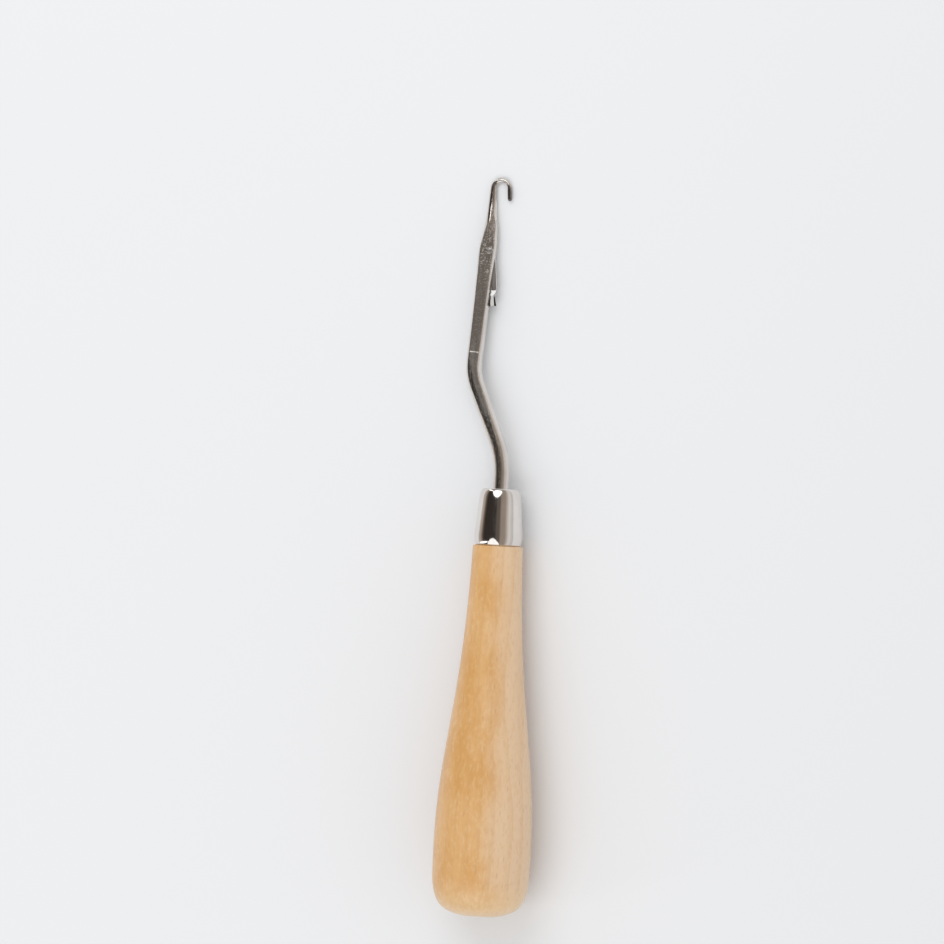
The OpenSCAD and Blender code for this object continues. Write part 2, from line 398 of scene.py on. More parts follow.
class Graph:
    """A node tree with short ways to add nodes and join them."""

    def __init__(self, tree: bpy.types.NodeTree) -> None:
        """Starts on a tree whose nodes are removed."""
        self.tree = tree
        tree.nodes.clear()

    def add(self, kind: str, **settings: object) -> bpy.types.Node:
        """A new node of a kind, with its settings."""
        node = self.tree.nodes.new(kind)
        for key, value in settings.items():
            setattr(node, key, value)
        return node

    def feed(self, target: Socket, value: object) -> None:
        """Joins a socket to a target, or writes a plain value on it."""
        if isinstance(value, bpy.types.NodeSocket):
            self.tree.links.new(value, target)
        elif value is not None:
            target.default_value = value

    def math(self, what: str, a: object, b: object = None, clamp: bool = False) -> Socket:
        """The result of one sum on numbers.

        Args:
            what: the name of the operation.
            a: first number or socket.
            b: second number or socket.
            clamp: keeps the result between 0 and 1.

        Returns:
            The result's socket.
        """
        node = self.add("ShaderNodeMath", operation=what, use_clamp=clamp)
        for target, value in zip(node.inputs, (a, b)):
            self.feed(target, value)
        return node.outputs[0]

    def plus(self, a: object, b: object) -> Socket:
        """The sum a + b."""
        return self.math("ADD", a, b)

    def minus(self, a: object, b: object) -> Socket:
        """The difference a - b."""
        return self.math("SUBTRACT", a, b)

    def times(self, a: object, b: object) -> Socket:
        """The product a b."""
        return self.math("MULTIPLY", a, b)

    def over(self, a: object, b: object) -> Socket:
        """The quotient a / b."""
        return self.math("DIVIDE", a, b)

    def opposite(self, a: object) -> Socket:
        """What is left of 1: 1 - a."""
        return self.minus(1.0, a)

    def attribute(self, name: str) -> Socket:
        """The number that a piece keeps under a name."""
        return self.add("ShaderNodeAttribute", attribute_name=name).outputs["Fac"]

    def vector(self, what: str, a: object, b: object = None) -> Socket:
        """The result of one sum on vectors: a number for lengths and dot products."""
        node = self.add("ShaderNodeVectorMath", operation=what)
        for target, value in zip(node.inputs, (a, b)):
            self.feed(target, value)
        return node.outputs["Value" if what in ("DOT_PRODUCT", "LENGTH", "DISTANCE") else "Vector"]

    def mix(self, factor: object, a: object, b: object) -> Socket:
        """Two colours mixed by a factor.

        Args:
            factor: share of the second colour.
            a: first colour or socket.
            b: second colour or socket.

        Returns:
            The colour's socket.
        """
        node = self.add("ShaderNodeMix", data_type="RGBA")
        self.feed(node.inputs[0], factor)
        self.feed(node.inputs[6], solid(a))
        self.feed(node.inputs[7], solid(b))
        return node.outputs[2]

    def range(self, value: object, low: float, high: float, to_low: float = 0.0,
              to_high: float = 1.0) -> Socket:
        """A number carried smoothly from one range to another and kept inside it.

        Args:
            value: the number or socket.
            low: start of the first range.
            high: end of the first range.
            to_low: start of the second range.
            to_high: end of the second range.

        Returns:
            The result's socket.
        """
        node = self.add("ShaderNodeMapRange", interpolation_type="SMOOTHSTEP")
        ends = {"From Min": low, "From Max": high, "To Min": to_low, "To Max": to_high}
        for key, number in ends.items():
            node.inputs[key].default_value = number
        self.feed(node.inputs["Value"], value)
        return node.outputs["Result"]

    def stretched(self, vector: Socket, across: float, along: float, upwards: float) -> Socket:
        """A vector with each of its parts multiplied."""
        return self.vector("MULTIPLY", vector, (across, along, upwards))

    def noise(self, vector: Socket, scale: object, detail: float = 2.0,
              rough: float = 0.5) -> Socket:
        """Soft noise between 0 and 1.

        Args:
            vector: where it is read.
            scale: its scale or a socket with it.
            detail: number of finer layers.
            rough: strength of the finer layers.

        Returns:
            The noise's socket.
        """
        node = self.add("ShaderNodeTexNoise")
        self.feed(node.inputs["Vector"], vector)
        self.feed(node.inputs["Scale"], scale)
        node.inputs["Detail"].default_value = detail
        node.inputs["Roughness"].default_value = rough
        return node.outputs["Fac"]

    def cells(self, vector: Socket, scale: object) -> bpy.types.Node:
        """Cells around scattered points; it puts out the distance and a colour for each cell."""
        node = self.add("ShaderNodeTexVoronoi")
        self.feed(node.inputs["Vector"], vector)
        self.feed(node.inputs["Scale"], scale)
        return node

    def ramp(self, value: Socket, stops: list[tuple[float, Colour]]) -> Socket:
        """A colour read from a row of stops.

        Args:
            value: the number that picks the colour.
            stops: pairs of position and colour.

        Returns:
            The colour's socket.
        """
        node = self.add("ShaderNodeValToRGB")
        row = node.color_ramp.elements
        for _ in range(len(stops) - 2):
            row.new(0.5)
        for element, (position, colour) in zip(row, stops):
            element.position = position
            element.color = solid(colour)
        self.feed(node.inputs[0], value)
        return node.outputs[0]

    def group(self, name: str, **inputs: object) -> bpy.types.Node:
        """Places a node group with its inputs fed."""
        node = self.add("ShaderNodeGroup", node_tree=bpy.data.node_groups[name])
        for key, value in inputs.items():
            self.feed(node.inputs[key.replace("_", " ")], value)
        return node


def solid(colour: object) -> object:
    """A plain colour with full cover, or the socket as it is."""
    return (*colour, 1.0) if isinstance(colour, tuple) and len(colour) == 3 else colour


class Kind(Enum):
    """Kinds of socket on a node group."""

    NUMBER = "NodeSocketFloat"
    VECTOR = "NodeSocketVector"


def new_group(name: str, inputs: dict[str, tuple[Kind, object]],
              outputs: dict[str, Kind]) -> tuple[Graph, bpy.types.Node, bpy.types.Node]:
    """An empty node group with its sockets.

    Args:
        name: name of the group.
        inputs: kind and default value of each input.
        outputs: kind of each output.

    Returns:
        The group's graph, its input node and its output node.
    """
    tree = bpy.data.node_groups.new(name, "ShaderNodeTree")
    for key, (kind, value) in inputs.items():
        socket = tree.interface.new_socket(key, in_out="INPUT", socket_type=kind.value)
        if value is not None:
            socket.default_value = value
    for key, kind in outputs.items():
        tree.interface.new_socket(key, in_out="OUTPUT", socket_type=kind.value)
    graph = Graph(tree)
    return graph, graph.add("NodeGroupInput"), graph.add("NodeGroupOutput")


def make_brush_marks() -> None:
    """Fine marks that run along a piece: noise squeezed across it and drawn out along it."""
    graph, given, out = new_group(
        "brush marks",
        {"Vector": (Kind.VECTOR, None), "Fineness": (Kind.NUMBER, 6.0)},
        {"Marks": Kind.NUMBER})
    place, fineness = given.outputs["Vector"], given.outputs["Fineness"]
    fine = graph.noise(graph.stretched(place, 1.0, 0.035, 1.0), fineness, 3.0, 0.6)
    slow = graph.noise(graph.stretched(place, 0.3, 0.02, 0.3), fineness, 1.0)
    both = graph.plus(graph.times(fine, 0.7), graph.times(slow, 0.3))
    graph.feed(out.inputs["Marks"], graph.range(both, 0.3, 0.7))


def make_pits() -> None:
    """Small scattered pits: a cell's middle where its own random number is low enough."""
    graph, given, out = new_group(
        "pits",
        {"Vector": (Kind.VECTOR, None), "Fineness": (Kind.NUMBER, 3.0), "Share": (Kind.NUMBER, 0.4),
         "Width": (Kind.NUMBER, 0.3)},
        {"Pits": Kind.NUMBER})
    cells = graph.cells(given.outputs["Vector"], given.outputs["Fineness"])
    apart = graph.add("ShaderNodeSeparateColor")
    graph.feed(apart.inputs[0], cells.outputs["Color"])
    chosen = graph.math("LESS_THAN", apart.outputs[0], given.outputs["Share"])
    near = graph.over(cells.outputs["Distance"], given.outputs["Width"])
    depth = graph.opposite(graph.range(near, 0.35, 1.0))
    graph.feed(out.inputs["Pits"], graph.times(chosen, depth))


def make_handling() -> None:
    """Soft patches left by handling: two layers of slow noise, one drawn out along the piece."""
    graph, given, out = new_group(
        "handling",
        {"Vector": (Kind.VECTOR, None), "Size": (Kind.NUMBER, 8.0)},
        {"Patches": Kind.NUMBER})
    scale = graph.over(1.0, given.outputs["Size"])
    place = given.outputs["Vector"]
    wide = graph.noise(place, scale, 3.0, 0.55)
    long = graph.noise(graph.stretched(place, 1.0, 0.35, 1.0), graph.times(scale, 2.3), 2.0)
    mean = graph.times(graph.plus(wide, long), 0.5)
    graph.feed(out.inputs["Patches"], graph.range(mean, 0.35, 0.65))


def make_edge_wear() -> None:
    """Worn edges: where the surface bends outwards, broken up by noise."""
    graph, given, out = new_group(
        "edge wear",
        {"Vector": (Kind.VECTOR, None), "Low": (Kind.NUMBER, 0.52), "High": (Kind.NUMBER, 0.6)},
        {"Wear": Kind.NUMBER})
    bend = graph.add("ShaderNodeNewGeometry").outputs["Pointiness"]
    span = graph.minus(given.outputs["High"], given.outputs["Low"])
    edge = graph.math("DIVIDE", graph.minus(bend, given.outputs["Low"]), span, clamp=True)
    broken = graph.range(graph.noise(given.outputs["Vector"], 1.4, 3.0), 0.3, 0.6, 0.35, 1.0)
    graph.feed(out.inputs["Wear"], graph.times(edge, broken))


# ---------------------------------------------------------------- finishes


@dataclass
class Surface:
    """A material being made: its graph, its shader and the place on the piece's axes."""

    material: bpy.types.Material
    graph: Graph
    shader: bpy.types.Node
    place: Socket

    @classmethod
    def start(cls, name: str, axes: ToolAxes) -> "Surface":
        """A new material that reads places in millimetres on the given axes.

        The place is turn (1000 p) - 1000 turn origin, with p the object's own coordinates.

        Args:
            name: name of the material.
            axes: axes the pattern lies on.

        Returns:
            The material with its shader and its place.
        """
        material = bpy.data.materials.new(name)
        material.use_nodes = True
        graph = Graph(material.node_tree)
        shader = graph.add("ShaderNodeBsdfPrincipled")
        graph.feed(graph.add("ShaderNodeOutputMaterial").inputs["Surface"], shader.outputs[0])
        mapping = graph.add("ShaderNodeMapping", vector_type="POINT")
        turn = axes.turn()
        mapping.inputs["Scale"].default_value = (1000, 1000, 1000)
        mapping.inputs["Rotation"].default_value = Matrix(turn.tolist()).to_euler("XYZ")
        mapping.inputs["Location"].default_value = (-1000 * turn @ axes.origin).tolist()
        graph.feed(mapping.inputs["Vector"], graph.add("ShaderNodeTexCoord").outputs["Object"])
        return cls(material, graph, shader, mapping.outputs["Vector"])

    def give(self, **sockets: object) -> None:
        """Feeds the shader's sockets, named with underscores for spaces."""
        for key, value in sockets.items():
            self.graph.feed(self.shader.inputs[key.replace("_", " ")], solid(value))

    def bump(self, height: Socket, depth: float, below: Socket | None = None) -> Socket:
        """A normal from a height.

        Args:
            height: the height, from 0 to 1.
            depth: how deep 1 is, in metres.
            below: a normal that is already uneven.

        Returns:
            The normal's socket.
        """
        node = self.graph.add("ShaderNodeBump")
        node.inputs["Strength"].default_value = 1.0
        node.inputs["Distance"].default_value = depth
        self.graph.feed(node.inputs["Height"], height)
        self.graph.feed(node.inputs["Normal"], below)
        return node.outputs["Normal"]


@dataclass(frozen=True)
class Beech:
    """Turned and lacquered beech: growth rings, fibres, short dark rays, specks and a painted
    sheen.
    """

    light: Colour = (0.72, 0.415, 0.165)
    honey: Colour = (0.66, 0.345, 0.105)
    late: Colour = (0.57, 0.300, 0.105)
    # the colour of the painted sheen on one side of the handle
    painted_sheen: Colour = (0.74, 0.520, 0.325)
    # pale lightens random mottles, and the butt end, where it is partly a painted highlight
    pale: Colour = (0.80, 0.56, 0.31)
    ray: Colour = (0.400, 0.205, 0.080)
    pith: tuple[float, float] = (-34.0, 19.0)
    ring_gap: float = 2.7
    ring_wander: float = 11.0
    # painted sheen: where across the handle the paler, less yellow colour starts and ends, and how
    # it slants along
    painted_sheen_from: float = 2.4
    painted_sheen_to: float = 8.0
    painted_sheen_slant: float = 0.04
    speck: Colour = (0.13, 0.055, 0.025)
    fibre_depth: float = 0.00006
    ray_depth: float = 0.00002
    roughness: float = 0.34
    lacquer: float = 0.5
    lacquer_roughness: float = 0.24

    def make(self, axes: ToolAxes) -> bpy.types.Material:
        """The material on the tool's axes.

        A growth ring is the fraction of (distance from the pith + slow noise) / ring gap. A ray is
        a short cell that is drawn out along the grain. The side towards the open side of the hook
        is painted paler as a sheen, and the butt end is painted paler, partly as sanded end grain
        and partly as a painted highlight.

        Args:
            axes: the tool's axes.

        Returns:
            The material.
        """
        made = Surface.start("beech", axes)
        graph, place = made.graph, made.place
        apart = graph.add("ShaderNodeSeparateXYZ")
        graph.feed(apart.inputs[0], place)
        x = graph.minus(apart.outputs[0], self.pith[0])
        z = graph.minus(apart.outputs[2], self.pith[1])
        wander = graph.noise(graph.stretched(place, 0.055, 0.014, 0.055), 1.0, 2.0)
        radius = graph.math("SQRT", graph.plus(graph.times(x, x), graph.times(z, z)))
        radius = graph.plus(radius, graph.times(wander, self.ring_wander))
        ring = graph.math("FRACT", graph.over(radius, self.ring_gap))
        late = graph.times(graph.range(ring, 0.45, 0.93), graph.range(ring, 1.0, 0.94))
        fibre = graph.noise(graph.stretched(place, 3.4, 0.09, 3.4), 1.0, 4.0, 0.62)
        thread = graph.noise(graph.stretched(place, 9.0, 0.35, 9.0), 1.0, 2.0)
        cloud = graph.group("handling", Vector=place, Size=13.0).outputs["Patches"]
        blend = graph.plus(graph.times(cloud, 0.55), graph.times(fibre, 0.45))
        tone = graph.mix(graph.range(blend, 0.25, 0.75), self.honey, self.light)
        # painted sheen: the side towards the open side of the hook is painted paler, standing in
        # for light on the lacquer
        painted_sheen = graph.plus(apart.outputs[0], graph.times(graph.minus(cloud, 0.5), 2.2))
        painted_sheen = graph.plus(painted_sheen, graph.times(apart.outputs[1], self.painted_sheen_slant))
        tone = graph.mix(graph.range(painted_sheen, self.painted_sheen_from, self.painted_sheen_to, 0.0, 0.95), tone, self.painted_sheen)
        tone = graph.mix(graph.times(late, 0.2), tone, self.late)
        mottle = graph.noise(graph.stretched(place, 1.5, 0.6, 1.5), 1.0, 3.0, 0.6)
        tone = graph.mix(graph.range(mottle, 0.5, 0.68, 0.0, 0.3), tone, self.pale)
        tone = graph.mix(graph.range(mottle, 0.48, 0.32, 0.0, 0.22), tone, self.late)
        # the butt end is painted paler: partly sanded end grain, partly a painted highlight
        butt = graph.plus(graph.times(graph.range(apart.outputs[1], 1.5, 8.0), -1.0), 1.0)
        butt = graph.times(butt, graph.range(mottle, 0.35, 0.65, 0.6, 0.85))
        tone = graph.mix(butt, tone, self.pale)
        tone = graph.mix(graph.range(thread, 0.58, 0.78, 0.0, 0.22), tone, self.late)
        rays = self.pits(graph, graph.stretched(place, 1.0, 0.24, 1.0), 1.15, 0.42, 0.26)
        fine = self.pits(graph, graph.stretched(place, 1.0, 0.3, 1.0), 2.6, 0.4, 0.24)
        specks = self.pits(graph, place, 0.17, 0.3, 0.045)
        spots = ((rays, 0.23, self.ray), (fine, 0.17, self.ray), (specks, 0.75, self.speck))
        for pits, share, colour in spots:
            tone = graph.mix(graph.times(pits, share), tone, colour)
        rough = graph.plus(self.roughness, graph.times(fibre, 0.12))
        grain = made.bump(fibre, self.fibre_depth)
        normal = made.bump(graph.opposite(rays), self.ray_depth, grain)
        made.give(Base_Color=tone, Roughness=rough, Normal=normal, Specular_IOR_Level=0.5,
                  Coat_Weight=self.lacquer, Coat_Roughness=self.lacquer_roughness, Coat_IOR=1.5)
        return made.material

    def pits(self, graph: Graph, where: Socket, fineness: float, share: float,
             width: float) -> Socket:
        """Rays or specks: the pits group read at a place, with its fineness, share and width."""
        node = graph.group("pits", Vector=where, Fineness=fineness, Share=share, Width=width)
        return node.outputs["Pits"]


@dataclass(frozen=True)
class Metal:
    """Plated or bare steel: its colour, its gloss and how strongly it is marked."""

    name: str
    colour: Colour
    dull: Colour
    roughness: float
    marks: float
    mark_depth: float
    fineness: float
    pits: float = 0.0
    pit_depth: float = 0.0
    patches: float = 0.05
    wave_depth: float = 0.0
    wear: float = 0.5
    pressed: Colour | None = None
    pressed_roughness: float = 0.4
    # colours for painted shade and painted dark reflection, and for painted light, read through the
    # piece's attributes
    hollow: Colour | None = None
    chalky: Colour | None = None
    rough_spot: tuple[float, float, float] | None = None
    pit_tone: Colour = (0.12, 0.11, 0.10)
    worn_tone: Colour = (0.80, 0.77, 0.74)
    spot_tone: Colour = (0.90, 0.86, 0.79)
    spot_depth: float = 0.00002

    def make(self, axes: ToolAxes) -> bpy.types.Material:
        """The material on the piece's axes.

        Brush marks, pits, handling and wear on edges come from the shared groups. Pressed faces are
        darker and more matt. Painted shade and painted dark reflection make some places darker
        still, and painted light makes some faces pale and matt: the piece's own attributes say
        where they are. Where there is a rough spot, its bumps and bright specks fade out with the
        distance from it; the specks' pale colour is a painted glint.

        Args:
            axes: axes the marks run along.

        Returns:
            The material.
        """
        made = Surface.start(self.name, axes)
        graph, place = made.graph, made.place
        marks = graph.group("brush marks", Vector=place, Fineness=self.fineness).outputs["Marks"]
        patches = graph.group("handling", Vector=place, Size=6.0).outputs["Patches"]
        pits = graph.group("pits", Vector=place, Fineness=2.4, Share=0.5, Width=0.3).outputs["Pits"]
        wear = graph.group("edge wear", Vector=place).outputs["Wear"]
        tone = graph.mix(patches, self.colour, self.dull)
        rough = graph.plus(self.roughness, graph.times(marks, self.marks))
        if self.pressed:
            faces = graph.attribute("pressed")
            streaks = graph.mix(graph.times(marks, 0.1), self.pressed, self.dull)
            tone = graph.mix(faces, tone, streaks)
            rough = graph.plus(rough, graph.times(faces, self.pressed_roughness - self.roughness))
        # painted shade and painted dark reflection: where the piece marks them, its colour turns
        # darker
        if self.hollow:
            inside = graph.attribute("hollow")
            tone = graph.mix(inside, tone, self.hollow)
        metallic: object = 1.0
        # painted light: where the piece marks it, the face turns pale and matt
        if self.chalky:
            painted_light_share = graph.attribute("chalky")
            tone = graph.mix(painted_light_share, tone, self.chalky)
            metallic = graph.opposite(graph.times(painted_light_share, 0.85))
            rough = graph.plus(rough, graph.times(painted_light_share, 0.3))
        tone = graph.mix(graph.times(pits, self.pits), tone, self.pit_tone)
        tone = graph.mix(graph.times(wear, self.wear), tone, self.worn_tone)
        rough = graph.plus(rough, graph.times(patches, self.patches))
        rough = graph.math("SUBTRACT", rough, graph.times(wear, 0.4 * self.roughness), clamp=True)
        normal = made.bump(marks, self.mark_depth)
        if self.pit_depth:
            normal = made.bump(graph.opposite(pits), self.pit_depth, normal)
        if self.wave_depth:
            wave = graph.noise(graph.stretched(place, 0.16, 0.09, 0.16), 1.0, 1.0)
            normal = made.bump(wave, self.wave_depth, normal)
        # rough spot: bumps and bright specks around a spot; the specks' pale colour is a painted
        # glint
        if self.rough_spot:
            across, along, reach = self.rough_spot
            gap = graph.vector("SUBTRACT", place, (across, along, 0.0))
            gap = graph.stretched(gap, 1.4, 0.6, 0.0)
            here = graph.range(graph.vector("LENGTH", gap), 0.35 * reach, reach, 1.0, 0.25)
            coarse = graph.noise(place, 3.0, 2.0, 0.65)
            coarse = graph.times(graph.range(coarse, 0.53, 0.62), here)
            normal = made.bump(coarse, self.spot_depth, normal)
            tone = graph.mix(graph.times(coarse, 0.7), tone, self.spot_tone)
        made.give(Base_Color=tone, Metallic=metallic, Roughness=rough, Normal=normal)
        return made.material


def dress(piece: bpy.types.Object, material: bpy.types.Material) -> None:
    """Gives a piece its material."""
    piece.data.materials.clear()
    piece.data.materials.append(material)


# ---------------------------------------------------------------- the tool's pieces


@dataclass
class Ferrule:
    """Thin plated cup, drawn over the handle's tenon, with a hole in its top for the wire."""

    shoulder: float = 80.25
    height: float = 12.4
    wall: float = 0.45
    low_radius: float = 5.26
    top_radius: float = 4.64
    top_round: float = 3.3
    top_in: float = 0.95
    lip_round: float = 2.4
    lip_in: float = 0.6
    fit: float = 0.03
    hole: float = 1.85
    lip_degrees: float = 70.0
    hole_round: float = 0.08
    finish: Metal = Metal(
        "plated cup", (0.80, 0.765, 0.735), (0.74, 0.705, 0.675), roughness=0.055, marks=0.05,
        mark_depth=0.000003, fineness=2.6, pits=0.1, patches=0.05, wave_depth=0.00016)

    def top(self) -> float:
        """Height of its flat top."""
        return self.shoulder + self.height

    def lip(self) -> float:
        """Height at which its lip is widest."""
        return self.shoulder + self.fit + self.lip_round * math.sin(math.radians(self.lip_degrees))

    def wall_line(self, inwards: float) -> Array:
        """Its outer wall moved inwards: the lip, the cone and the drawn-in top.

        Both ends are tall ellipses, centre + ((a - inwards) cos t, (b - inwards) sin t).

        Args:
            inwards: distance from the outer face.

        Returns:
            Points of radius and height, from the bottom to the top.
        """
        low_t = np.radians(np.linspace(-self.lip_degrees, 12, 26))
        high_t = np.radians(np.linspace(16, 90, 40))
        low = oval((self.low_radius - self.lip_in, self.lip()), self.lip_in - inwards,
                   self.lip_round - inwards, low_t)
        high = oval((self.top_radius - self.top_in, self.top() - self.top_round),
                    self.top_in - inwards, self.top_round - inwards, high_t)
        f = np.linspace(0, 1, 20)[1:-1, None]
        return np.vstack([low, low[-1] + f * (high[0] - low[-1]), high])

    def make(self, axes: ToolAxes) -> bpy.types.Object:
        """The cup as one closed wall."""
        top = self.top()
        rim = [(self.hole + self.hole_round, top), (self.hole, top - self.hole_round),
               (self.hole, top - self.wall)]
        profile = np.vstack([self.wall_line(0), rim, self.wall_line(self.wall)[::-1]])
        piece = build("ferrule_cup", turned(profile, 192, loop=True), axes)
        dress(piece, self.finish.make(axes))
        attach(piece, "tool")
        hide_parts("ferrule")
        return piece


@dataclass
class Handle:
    """Turned beech: a rounded butt, a full belly, a slim neck and a tenon inside the ferrule."""

    ferrule: Ferrule
    belly: float = 10.6
    belly_along: float = 14.0
    neck: float = 5.44
    butt_flat: float = 4.0
    bore: float = 1.78
    bore_end: float = 0.6
    tang_end: float = 56.95
    wing_start: float = 2.47
    wing_slot: tuple[float, float] = (4.76, 1.26)
    sharp: float = 26.0
    finish: Beech = Beech()

    def outline(self) -> Array:
        """Half of the handle's section as radius and height.

        One cubic curve rounds the butt and one runs from the belly to the neck. The bore for the
        wire follows from the tenon's top.

        Returns:
            Points from the middle of the butt to the bottom of the bore.
        """
        shoulder = self.ferrule.shoulder
        rise = shoulder - self.belly_along
        wide = self.belly - 0.04
        butt = bezier([(self.butt_flat, 0), (self.butt_flat + 3.7, 0.85), (wide, 1.7), (wide, 10)],
                      np.linspace(0, 1, 60) ** 1.15)
        neck = bezier([(self.belly, self.belly_along), (self.belly, self.belly_along + 0.35 * rise),
                       (self.neck + 0.7, shoulder - 0.54 * rise), (self.neck, shoulder - 0.12)],
                      np.linspace(0, 1, 150))
        wall = self.ferrule.wall + self.ferrule.fit
        inside = self.ferrule.wall_line(wall)
        tenon = inside[0, 0] - 0.02
        inside = inside[inside[:, 1] > self.ferrule.lip() + 6]
        top = self.ferrule.top() - wall
        flat = [(0.4, 0), (2.2, 0), (self.butt_flat - 0.15, 0)]
        edge = [(self.neck - 0.05, shoulder - 0.04), (self.neck - 0.16, shoulder),
                (tenon, shoulder), (tenon, self.ferrule.lip() + 0.3)]
        floor = self.tang_end - self.bore_end
        end = [(self.bore + 0.1, top), (self.bore, top - 0.1), (self.bore, floor), (0.5, floor)]
        return np.vstack([flat, butt, neck, edge, inside, end])

    def make(self, axes: ToolAxes) -> bpy.types.Object:
        """The handle with its bore and the slot for the tang's wings."""
        piece = build("handle_wood", turned(self.outline(), 224), axes, self.sharp)
        low, high = self.tang_end + self.wing_start, self.ferrule.top() + 2
        across, upwards = self.wing_slot
        slot = block("wing slot", (across, high - low, upwards), (low + high) / 2, axes)
        carve(piece, slot, Cut.AWAY, self.sharp)
        dress(piece, self.finish.make(axes))
        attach(piece, "tool")
        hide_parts("handle")
        return piece


def block(name: str, size: tuple[float, float, float], middle: float,
          axes: ToolAxes) -> bpy.types.Object:
    """A block around the tool's axis with eased corners, for carving.

    Args:
        name: name of the object.
        size: lengths across, along and upwards.
        middle: its middle along the tool.
        axes: the tool's axes.

    Returns:
        The block.
    """
    x, s, z = (length / 2 for length in size)
    ring = np.array([(x, 0, z), (x, 0, -z), (-x, 0, -z), (-x, 0, z)])
    rings = np.stack([ring + (0, middle - s, 0), ring + (0, middle + s, 0)])
    return build(name, skin(rings, flat_ends=True), axes)


@dataclass
class Rivet:
    """Pin through the stem's two cheeks, peened at both ends."""

    across: float = -5.2
    along: float = 144.06
    radius: float = 0.45
    head: float = 0.68
    reach: float = 1.2
    dome: float = 2.36
    dome_middle: float = 2.26
    head_height: float = 0.24
    finish: Metal = Metal(
        "rivet steel", (0.46, 0.435, 0.41), (0.30, 0.28, 0.26), roughness=0.30, marks=0.08,
        mark_depth=0.000004, fineness=5.0, pits=0.4, pit_depth=0.000014,
        rough_spot=(0.0, 0.0, 1.4))

    def outline(self, gap: float) -> Array:
        """Its section as radius and height, with a gap all round.

        Args:
            gap: how much larger it is.

        Returns:
            Points from one end of its axis to the other.
        """
        low = arc((0, -self.reach + self.dome_middle - gap), self.dome, 270, 286.6, 8)[1:]
        low[:, 0] *= (self.head + gap) / low[-1, 0]
        shaft = (self.radius + gap, -self.reach + self.head_height)
        half = np.vstack([[(0.03, low[0, 1])], low, [shaft]])
        return np.vstack([half, half[::-1] * (1, -1)])

    def shape(self, gap: float) -> Skin:
        """The pin standing on the tool's plane, with a gap all round."""
        surface = upright(turned(self.outline(gap), 48))
        return Skin(surface.points + (self.across, self.along, 0), surface.faces)

    def make(self, axes: ToolAxes) -> bpy.types.Object:
        """The pin with its two peened heads."""
        piece = build("rivet_pin", self.shape(0), axes)
        dress(piece, self.finish.make(axes.moved(self.across, self.along, 20)))
        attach(piece, "tool")
        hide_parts("latch_rivet")
        return piece


